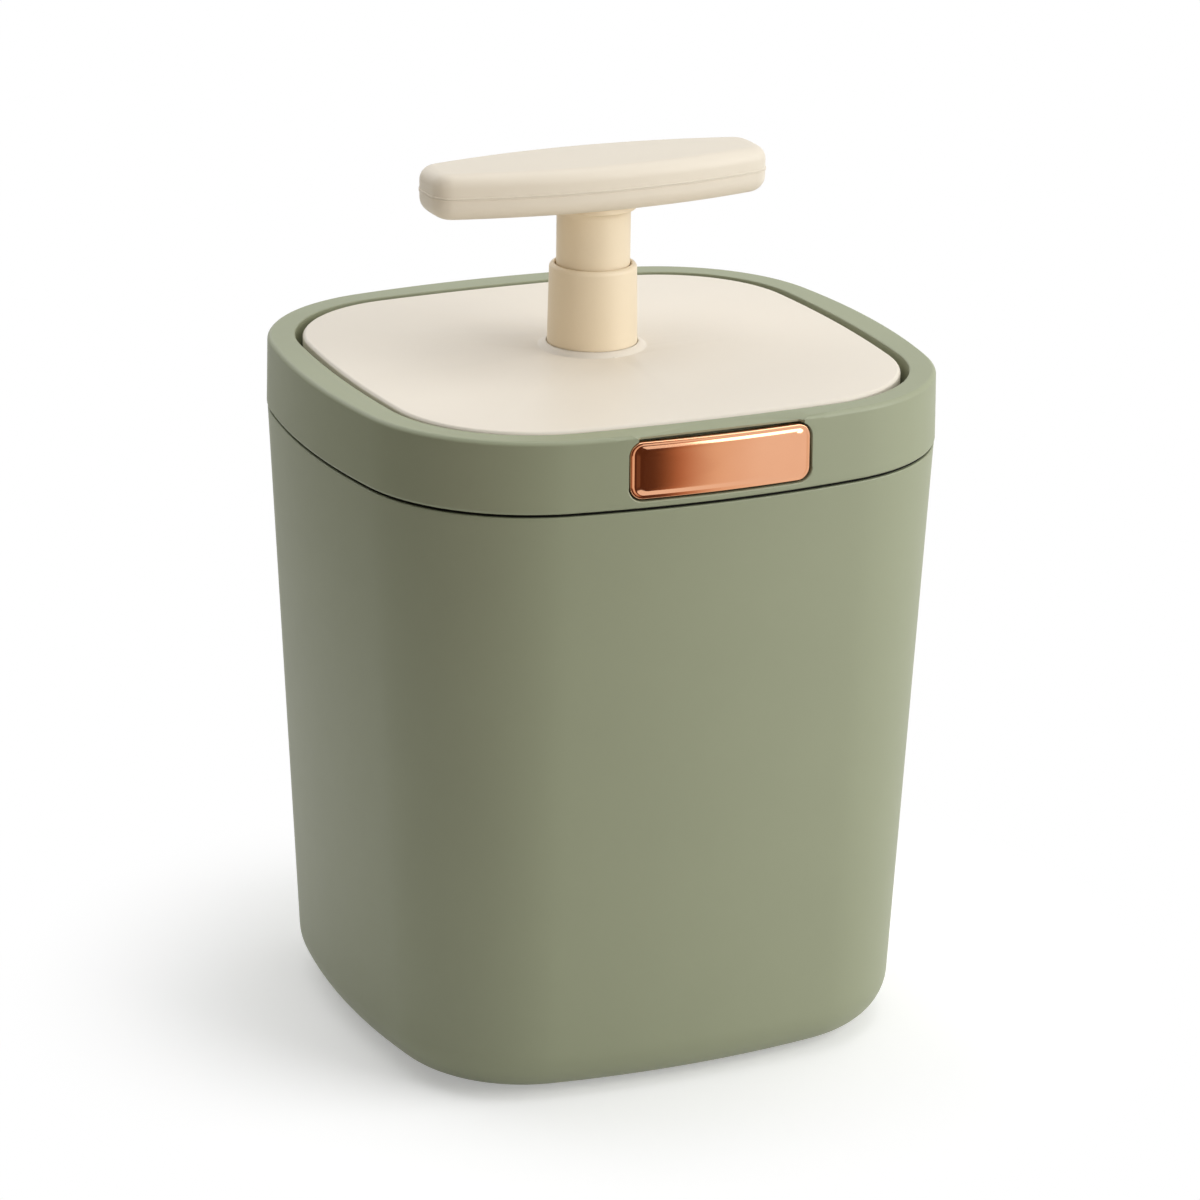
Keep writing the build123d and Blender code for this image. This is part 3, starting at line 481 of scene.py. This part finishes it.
# Collar frame: the darker inner moulding screwed under the ring. It makes the drip gutter, the
# mouth ring that the lid's plug closes, the skirt in the bucket and the hinge posts.
frame_plastic = plastic("frame plastic", srgb(92, 95, 86), grain_size=2000.0)
collar_frame = softened("collar_frame", "collar_inner", 0.3)
fit(collar_frame, frame_plastic, "collar", "grey_plastic", "collar_frame")

# Seals: all are moulded silicone rubber. The flat one under the collar is black, and its thin
# lip, drawn out into the seam, is painted shade: it shows as the dark line of the seam's shadow.
# The lid's and the two rings on the stem are pale.
silicone = plastic("silicone", srgb(214, 210, 198), roughness=0.38, cloud=0.02,
                   grain_size=900.0, strength=0.08)
# the black seal is real, and its lip in the seam stands in for the seam's shadow: painted shade
black_seal_seam_shade = plastic("black seal with painted seam shade", srgb(12, 12, 10), roughness=0.8, cloud=0.05,
                      grain_size=900.0, specular=0.2)
seal_low, seal_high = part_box("collar_seal")
seal_foot, seal_reach, seal_in = seal_low.z / MM, seam_w - seal_high.x / MM, 4.6
lip_low, lip_mid, lip_high, lip_soft, lip_in, lip_tip = 189.1, 189.4, 189.7, 0.05, 0.75, 0.6
seal_profile = [[(seal_reach, seal_foot), (seal_reach, lip_low), (lip_in, lip_low + lip_soft),
                 (lip_tip, lip_mid), (lip_in, lip_high - lip_soft), (seal_in, lip_high),
                 (seal_in, seal_foot), (seal_reach, seal_foot)]]
collar_seal = piece_of("collar_gasket", [carried(seam_line, seal_profile, (False, False))])
fit(collar_seal, black_seal_seam_shade, "collar", "silicone", "collar_seal")
fit(softened("lid_gasket", "lid_seal", 0.3), silicone, "lid", "silicone", "lid_gasket")
fit(softened("stem_seals", "stem_rings", 0.25), silicone, "lid", "silicone", "stem_seals")

# Steel small parts: screws, the hinge pin, the washer and the latch spring, all of bright steel
# wire or bar with fine turning marks. The spring stands between the collar and the latch
# slider. The real one gets shorter as the button goes in; this copy keeps one length.
# worked metal: the tool's marks, drawn out along one axis by the stretch, spread the roughness
# between its two limits, and slow clouds mix the two tones
worked, worked_in, worked_out = effect_group(
    "worked metal",
    [("Tone", "Color", (0.5, 0.5, 0.5, 1)), ("Other tone", "Color", (0.6, 0.6, 0.6, 1)),
     ("Tones per metre", "Float", 300.0), ("Marks per metre", "Float", 1400.0),
     ("Mark detail", "Float", 2.0), ("Stretch", "Vector", (1.0, 1.0, 1.0)),
     ("Smoothest", "Float", 0.2), ("Roughest", "Float", 0.4)],
    [("Colour", "Color"), ("Roughness", "Float")])
place = worked.nodes.new("ShaderNodeTexCoord").outputs["Object"]
drawn_out = worked.nodes.new("ShaderNodeMapping")
worked.links.new(place, drawn_out.inputs["Vector"])
worked.links.new(worked_in.outputs["Stretch"], drawn_out.inputs["Scale"])
marks = noise(worked, drawn_out.outputs["Vector"], worked_in.outputs["Marks per metre"],
              worked_in.outputs["Mark detail"])
worked.links.new(remap(worked, marks, worked_in.outputs["Smoothest"],
                       worked_in.outputs["Roughest"]), worked_out.inputs["Roughness"])
tone = worked.nodes.new("ShaderNodeMix")
tone.data_type = "RGBA"
worked.links.new(noise(worked, place, worked_in.outputs["Tones per metre"]),
                 tone.inputs["Factor"])
worked.links.new(worked_in.outputs["Tone"], tone.inputs["A"])
worked.links.new(worked_in.outputs["Other tone"], tone.inputs["B"])
worked.links.new(tone.outputs["Result"], worked_out.inputs["Colour"])


def metal(name, **values):
    """Bare metal: the worked group varies its colour and gloss."""
    material, shader = surface(
        name, worked, [("Colour", "Base Color"), ("Roughness", "Roughness")], **values)
    shader.inputs["Metallic"].default_value = 1.0
    return material


steel = metal("turned steel", Tone=srgb(176, 176, 172), Other_tone=srgb(204, 203, 198),
              Tones_per_metre=300.0, Marks_per_metre=1400.0, Mark_detail=3.0,
              Smoothest=0.22, Roughest=0.42)
for node, name, body in (("collar_screws", "collar_fixings", "collar"),
                         ("lid_screws", "lid_fixings", "lid"),
                         ("handle_screws", "handle_fixings", "plunger"),
                         ("plate_screw", "plate_fixing", "plunger"),
                         ("latch_screws", "latch_fixings", "collar"),
                         ("hinge_pin", "hinge_bar", "collar"),
                         ("plate_washer", "plate_disc", "plunger")):
    fit(softened(node, name, 0.15), steel, body, "steel", node)
spring = fit(softened("latch_spring", "latch_coil", 0), steel, "collar", "steel", "latch_spring")
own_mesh(spring)

# Lid: a cream moulded plate with a soft edge and a low raised ring round the sleeve, and below
# it the tray that plugs the mouth and holds the filter. Four screws hold the two together.
cream = plastic("cream plastic", srgb(234, 225, 210), roughness=0.44, cloud=0.012)
lid_plate = softened("lid_plate", "lid_top", 0.4, quartered=True)
# small details would else hold the rounding back on the whole plate
lid_plate.modifiers["soft edges"].use_clamp_overlap = False
# the raised ring is full at its inner edge, and falls with a power of the way across it
lid_top, plunger_y = 211.7, 5.0
raised_in, raised_out, raised_high, raised_fullness, touch = 14.1, 16.75, 1.5, 1.5, 0.001
spots = spots_of(lid_plate.data)
from_hole = np.hypot(spots[:, 0], spots[:, 1] - plunger_y)
across = np.clip((from_hole - raised_in) / (raised_out - raised_in), 0, 1)
raised = spots[:, 2] > lid_top + touch
spots[raised, 2] = lid_top + raised_high * (1 - across[raised] ** raised_fullness)
lid_plate.data.vertices.foreach_set("co", (spots * MM).ravel())
fit(lid_plate, cream, "lid", "cream_plastic", "lid_plate")
fit(softened("lid_tray", "lid_plug", 0.3), cream, "lid", "cream_plastic", "lid_tray")

# Filter: a disc of black charcoal felt in the tray's pocket, which keeps the smell in. A
# slotted white cover is pushed over it, and a ring nut of the same plastic clamps the sleeve.
felt = plastic("charcoal felt", srgb(38, 38, 38), roughness=0.95, cloud=0.2,
               grain_size=1800.0, strength=0.9, specular=0.2)
white = plastic("white plastic", srgb(222, 222, 214), roughness=0.4, cloud=0.015)
filter_disc = softened("charcoal_filter", "felt_disc", 0.4)
filter_cover = softened("filter_cover", "filter_grille", 0.2)
sleeve_nut = softened("sleeve_nut", "sleeve_ring_nut", 0.3)
fit(filter_disc, felt, "lid", "charcoal", "charcoal_filter")
fit(filter_cover, white, "lid", "white_plastic", "filter_cover")
fit(sleeve_nut, white, "lid", "white_plastic", "sleeve_nut")

# Sleeve and stem: sand-coloured mouldings. The sleeve is threaded into the lid and held by its
# nut, and has two grooves for the seal rings that the stem slides in. Under the handle the
# stem flares into its head.
sand = plastic("sand plastic", srgb(232, 216, 188), roughness=0.45, cloud=0.012)
sleeve_top, sleeve_tail = 237.9, 203.5
foot_r, top_r, thread_r, bore_r, mouth_r, lip_r = 13.95, 13.5, 13.1, 11.41, 11.7, 1.5
mouth_soft, mouth_deep = 0.3, 1.2
groove_r, grooves = 12.71, ((231.8, 233.0), (218.3, 219.5))
# the sleeve's lip is a quarter circle, and its two grooves are cut into a straight bore
lip = np.radians(np.linspace(0, 90, 9))
rounded_lip = np.stack([top_r - lip_r * (1 - np.cos(lip)),
                        sleeve_top - lip_r * (1 - np.sin(lip))], axis=1)
bore = [(mouth_r, sleeve_top - mouth_soft), (mouth_r, sleeve_top - mouth_deep),
        (bore_r, sleeve_top - mouth_deep)]
for low, high in grooves:
    bore += [(bore_r, high), (groove_r, high), (groove_r, low), (bore_r, low)]
sleeve_profile = [[(thread_r, sleeve_tail), (thread_r, lid_top), (foot_r, lid_top)],
                  rounded_lip, bore, [(bore_r, sleeve_tail), (thread_r, sleeve_tail)]]
sleeve = piece_of("stem_sleeve",
                  [turned(0, plunger_y, sleeve_profile, 144, (False, False))])
fit(sleeve, sand, "lid", "sand_plastic", "plunger_sleeve")
stem = softened("plunger_stem", "stem_tube", 0.3)
fit(stem, sand, "plunger", "sand_plastic", "plunger_stem")
tube_r, head_r, flare_foot, flare_top, sunk, head_step = 11.35, 13.25, 253.5, 257.2, 0.5, 0.3
flare_r = head_r - tube_r
# the flare is a hollow part circle that leaves the tube upright and turns out to the head
swell = np.radians(np.linspace(0, 80, 9))
hollow = np.stack([tube_r + flare_r * (1 - np.cos(swell)),
                   flare_foot + flare_r * np.sin(swell)], axis=1)
flare = [[(tube_r - sunk, flare_foot)], hollow,
         [(head_r, flare_foot + flare_r + head_step), (head_r, flare_top),
          (tube_r - sunk, flare_top), (tube_r - sunk, flare_foot)]]
stem_flare = piece_of("stem_flare", [turned(0, plunger_y, flare, 144, (False, False))])
fit(stem_flare, sand, "plunger", "sand_plastic")

# Press plate: a white ribbed moulding with drain slits, which presses the scraps down. A screw
# and a washer hold it to the lower end of the stem.
press_plate = softened("press_plate", "press_disc", 0.4)
fit(press_plate, white, "plunger", "white_plastic", "press_plate")

# Handle: two hollow cream shells, full in the hand, that meet along a raised parting bead. Two
# screws hold them together round the head of the stem.
grip_cream = plastic("grip plastic", srgb(222, 213, 197), roughness=0.46, cloud=0.012)
handle_low = softened("handle_bottom", "grip_lower", 0.15)
handle_up = softened("handle_top", "grip_upper", 0.15)
fit(handle_low, grip_cream, "plunger", "cream_plastic", "handle_bottom")
fit(handle_up, grip_cream, "plunger", "cream_plastic", "handle_top")

# Button and latch: a bowed metal face in copper colour, brushed lengthwise, on a white slider.
# The slider's hook holds the lid's front edge, and a bridge with two screws keeps it down.
copper = metal("copper finish", Tone=srgb(230, 168, 130), Other_tone=srgb(236, 176, 138),
               Tones_per_metre=60.0, Marks_per_metre=2600.0, Mark_detail=2.0,
               Stretch=(0.03, 1.0, 1.0), Smoothest=0.08, Roughest=0.13)
button_low, button_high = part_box("button_face")
button_mid_z = (button_low.z + button_high.z) / 2 / MM
button_half_w = button_high.x / MM
button_half_h = (button_high.z - button_low.z) / 2 / MM


def rounded(half_w, half_h, corner, per_corner=12, along=22, upright=8):
    """Closed rounded rectangle, anticlockwise.

    Four quarter circles about the corners' centres, joined by evenly divided straight runs.
    """
    cx, cz = half_w - corner, half_h - corner
    turn = np.linspace(0, math.pi / 2, per_corner)
    centres = np.array([(cx, cz), (-cx, cz), (-cx, -cz), (cx, -cz)])
    runs = []
    for quarter, (here, after) in enumerate(zip(centres, np.roll(centres, -1, axis=0))):
        a = turn + quarter * math.pi / 2
        bend = here + corner * np.stack([np.cos(a), np.sin(a)], axis=1)
        end = after + bend[-1] - here
        count = along if quarter % 2 == 0 else upright
        part = np.linspace(0, 1, count + 1)[1:-1, None]
        runs += [bend, bend[-1] + (end - bend[-1]) * part]
    return np.concatenate(runs)


def on_front(plan, proud):
    """Points of a flat figure laid on the collar's front, proud of it by a distance.

    The front is an arc of the outline's bow, whose depth shrinks evenly with the height.
    """
    x, z = plan[:, 0], plan[:, 1] + button_mid_z
    half_d = collar_low_d - collar_lean * (z - collar_foot) / (collar_top - collar_foot)
    front = half_d - front_bow + np.sqrt(front_bow ** 2 - x ** 2)
    return np.stack([x, -(front + proud), z], axis=1)


# back, straight side, narrow dished rim, hollow, slope up to the face, each as distance in from
# the ends, distance in from the long sides and distance proud of the collar
button_section = [(0.1, 0.1, -2.4), (0.1, 0.1, -0.78), (0.16, 0.16, -0.6), (0.28, 0.28, -0.5),
                  (0.45, 0.42, -0.47), (1.1, 0.9, -0.56), (1.35, 1.1, -0.6),
                  (1.55, 1.22, -0.61), (1.8, 1.35, -0.57), (2.1, 1.5, -0.5),
                  (2.9, 2.0, -0.27), (3.3, 2.3, -0.17), (3.7, 2.6, -0.12), (4.4, 3.0, -0.1)]
button_corner, least_corner = 4.0, 2.2


def button_loop(in_x, in_z, proud, share=1.0):
    """Loop of the button, moved in by two distances and shrunk to a share.

    Its corners are never tighter than the least.
    """
    corner = max(button_corner - in_z, least_corner)
    return on_front(rounded(button_half_w - in_x, button_half_h - in_z, corner) * share, proud)


button_rows = [button_loop(*ring) for ring in button_section]
button_rows += [button_loop(*button_section[-1], share) for share in (0.85, 0.65, 0.45, 0.25, 0.08)]
button = piece_of("button_cap", [closed_grid(np.stack(button_rows) * MM)], 60)
fit(button, copper, "button", "copper", "button_face")
latch_slider = softened("latch_slider", "latch_slide", 0.2)
latch_bridge = softened("latch_bridge", "latch_strap", 0.2)
fit(latch_slider, white, "button", "white_plastic", "latch_slider")
fit(latch_bridge, white, "collar", "white_plastic", "latch_bridge")

# Floor: a white sweep that keeps the bin's shadow near it and fades into a plain white ground.
# The camera, gloss and glass see that ground, and other light bounces off a pale matte one.
bpy.ops.mesh.primitive_plane_add(size=8.0, location=(0, 0, 0))
floor = bpy.context.object
floor.name = "floor"
floor_paint = bpy.data.materials.new("white floor")
floor_paint.use_nodes = True
tree = floor_paint.node_tree
tree.nodes.remove(tree.nodes["Principled BSDF"])
shadow_near, shadow_far, floor_glow = 0.095, 0.19, 0.33


def shader_node(tree, kind, **values):
    """The output of a shader node with plain values on its sockets."""
    node = tree.nodes.new(kind)
    for socket, value in values.items():
        node.inputs[socket].default_value = value
    return node.outputs[0]


def joined(tree, kind, *sources):
    """The output of a node that mixes or adds shaders, its inputs linked in order."""
    node = tree.nodes.new(kind)
    for socket, source in zip(node.inputs, sources):
        tree.links.new(source, socket)
    return node.outputs[0]


def seen(tree):
    """Whether a ray is the camera's, or one of gloss or glass."""
    path = tree.nodes.new("ShaderNodeLightPath").outputs
    by_camera_or_gloss = maths(tree, "MAXIMUM", path["Is Camera Ray"], path["Is Glossy Ray"])
    return maths(tree, "MAXIMUM", by_camera_or_gloss, path["Is Transmission Ray"])


away = tree.nodes.new("ShaderNodeVectorMath")
away.operation = "LENGTH"
tree.links.new(tree.nodes.new("ShaderNodeTexCoord").outputs["Object"], away.inputs[0])
fade = tree.nodes.new("ShaderNodeMapRange")
fade.interpolation_type = "SMOOTHSTEP"
fade.inputs["From Min"].default_value = shadow_near
fade.inputs["From Max"].default_value = shadow_far
tree.links.new(away.outputs["Value"], fade.inputs["Value"])
lit = shader_node(tree, "ShaderNodeBsdfDiffuse", Color=(0.84, 0.84, 0.84, 1))
glow = shader_node(tree, "ShaderNodeEmission", Strength=floor_glow)
sweep = shader_node(tree, "ShaderNodeEmission", Strength=1.0)
bounce = shader_node(tree, "ShaderNodeBsdfDiffuse", Color=(0.8, 0.79, 0.76, 1))
ground = joined(tree, "ShaderNodeMixShader", fade.outputs["Result"],
                joined(tree, "ShaderNodeAddShader", lit, glow), sweep)
tree.links.new(joined(tree, "ShaderNodeMixShader", seen(tree), bounce, ground),
               tree.nodes["Material Output"].inputs["Surface"])
floor.data.materials.append(floor_paint)
floor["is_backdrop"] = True

# Reflection card: a curved glowing sheet round the bin's left and front that only reflections
# see, its tones painted reflection and shade. It gives the copper its dark end and the plastic
# its darker left corner.
card_turn = np.linspace(-175, 36, 212)
card_radius, card_low, card_high = 0.45, 0.002, 0.34
card_count = len(card_turn)
card_plan = np.stack([np.sin(np.radians(card_turn)), -np.cos(np.radians(card_turn))], axis=1)
card_points = np.concatenate([np.column_stack([card_plan * card_radius, np.full(card_count, z)])
                              for z in (card_low, card_high)])
first = np.arange(card_count - 1)
card_faces = np.stack([first, first + 1, first + card_count + 1, first + card_count], axis=1)
card_mesh = bpy.data.meshes.new("painted_reflection_card")
card_mesh.from_pydata(card_points.tolist(), [], card_faces.tolist())
dusk, dark, brown = (0.2, 0.2, 0.16), (0.1, 0.042, 0.022), (0.36, 0.2, 0.13)
amber, pale, bright = (0.54, 0.27, 0.15), (0.92, 0.82, 0.72), (1.0, 1.0, 1.0)
# painted reflection tones at some turns in degrees right of the front, blended evenly from each to
# the next
painted_reflection_tones = {-170: bright, -130: dusk, -110: dark, -80: dark, -70: brown, -22: brown,
              -12: dark, 11.3: dark, 14.3: amber, 19.4: pale, 26: bright}
painted_reflection_shade = np.stack([np.interp(card_turn, list(painted_reflection_tones), channel)
                       for channel in zip(*painted_reflection_tones.values())] + [np.ones(card_count)], axis=1)
shade = card_mesh.color_attributes.new("shade", "FLOAT_COLOR", "POINT")
shade.data.foreach_set("color", np.tile(painted_reflection_shade, (2, 1)).ravel())
card = bpy.data.objects.new("painted_reflection_card", card_mesh)
bpy.context.scene.collection.objects.link(card)
reflection_glow_material = bpy.data.materials.new("painted reflection glow")
reflection_glow_material.use_nodes = True
tree = reflection_glow_material.node_tree
tree.nodes.remove(tree.nodes["Principled BSDF"])
card_tone = tree.nodes.new("ShaderNodeAttribute")
card_tone.attribute_name = "shade"
# the sheet glows in its painted reflection tones, though it is no lamp
card_glow = tree.nodes.new("ShaderNodeEmission")
tree.links.new(card_tone.outputs["Color"], card_glow.inputs["Color"])
tree.links.new(card_glow.outputs[0], tree.nodes["Material Output"].inputs["Surface"])
card.data.materials.append(reflection_glow_material)
for ray in ("camera", "diffuse", "transmission", "volume_scatter", "shadow"):
    setattr(card, "visible_" + ray, False)
card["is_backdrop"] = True

# Light: an even pale room, four large soft lamps, and a weak warm one that only the handle,
# stem and sleeve receive, as if their own pale plastic threw its light back on them.
room_light, lamp_away, lamp_lift, aim_z = 0.18, 2.1, 0.1, 0.12
world = bpy.data.worlds.new("studio")
bpy.context.scene.world = world
world.use_nodes = True
tree = world.node_tree
tree.links.new(remap(tree, seen(tree), room_light, 1.0),
               tree.nodes["Background"].inputs["Strength"])
tree.nodes["Background"].inputs["Color"].default_value = (1, 1, 1, 1)


def toward(turn, rise):
    """Direction from the bin, turned right of its front and raised, both in radians."""
    return Vector((math.sin(turn) * math.cos(rise), -math.cos(turn) * math.cos(rise),
                   math.sin(rise)))


def lamp(name, turn, rise, size, power, colour=(1, 1, 1)):
    """Square soft lamp aimed at the bin: turn degrees right of the front, rise degrees up."""
    place = toward(math.radians(turn), math.radians(rise)) * lamp_away
    place.z += lamp_lift
    data = bpy.data.lights.new(name, "AREA")
    data.size = size
    data.energy = power
    data.color = colour
    made = bpy.data.objects.new(name, data)
    made.location = place
    made.rotation_euler = (Vector((0, 0, aim_z)) - place).to_track_quat("-Z", "Y").to_euler()
    bpy.context.scene.collection.objects.link(made)
    return made


lamp("key", 50, 25, 1.8, 35.0)
lamp("upper right", 90, 75, 1.6, 15.0)
lamp("upper left", -150, 60, 1.6, 8.0)
lamp("rear", -165, 35, 1.6, 8.0)
fill = lamp("warm fill", -45, 15, 1.4, 9.5, colour=(1.0, 0.87, 0.7))
pale_parts = bpy.data.collections.new("pale parts")
for part in (handle_low, handle_up, stem, stem_flare, sleeve):
    pale_parts.objects.link(part)
fill.light_linking.receiver_collection = pale_parts

# Camera: a long lens at the photograph's angle, a little left of the front and above the lid.
# Its place was solved from the outlines of the body, the lid and the button.
# the roll turns the picture's right and up about the line of sight
azimuth, elevation, roll = (math.radians(angle) for angle in (-24.14, 18.98, 0.82))
distance, lens, film = 1.45116, 139.41, 36.0
look_at = Vector((0.00137, -0.00074, 0.13017))
back = toward(azimuth, elevation)
right = (-back).cross(Vector((0, 0, 1))).normalized()
up = right.cross(-back)
turned_right = right * math.cos(roll) + up * math.sin(roll)
turned_up = up * math.cos(roll) - right * math.sin(roll)
camera_data = bpy.data.cameras.new("camera")
camera_data.lens = lens
camera_data.sensor_width = film
camera = bpy.data.objects.new("camera", camera_data)
camera.matrix_world = Matrix.Translation(look_at + back * distance) @ Matrix(
    (turned_right, turned_up, back)).transposed().to_4x4()
bpy.context.scene.collection.objects.link(camera)
bpy.context.scene.camera = camera
bpy.context.scene.view_settings.view_transform = "Standard"

low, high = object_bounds()
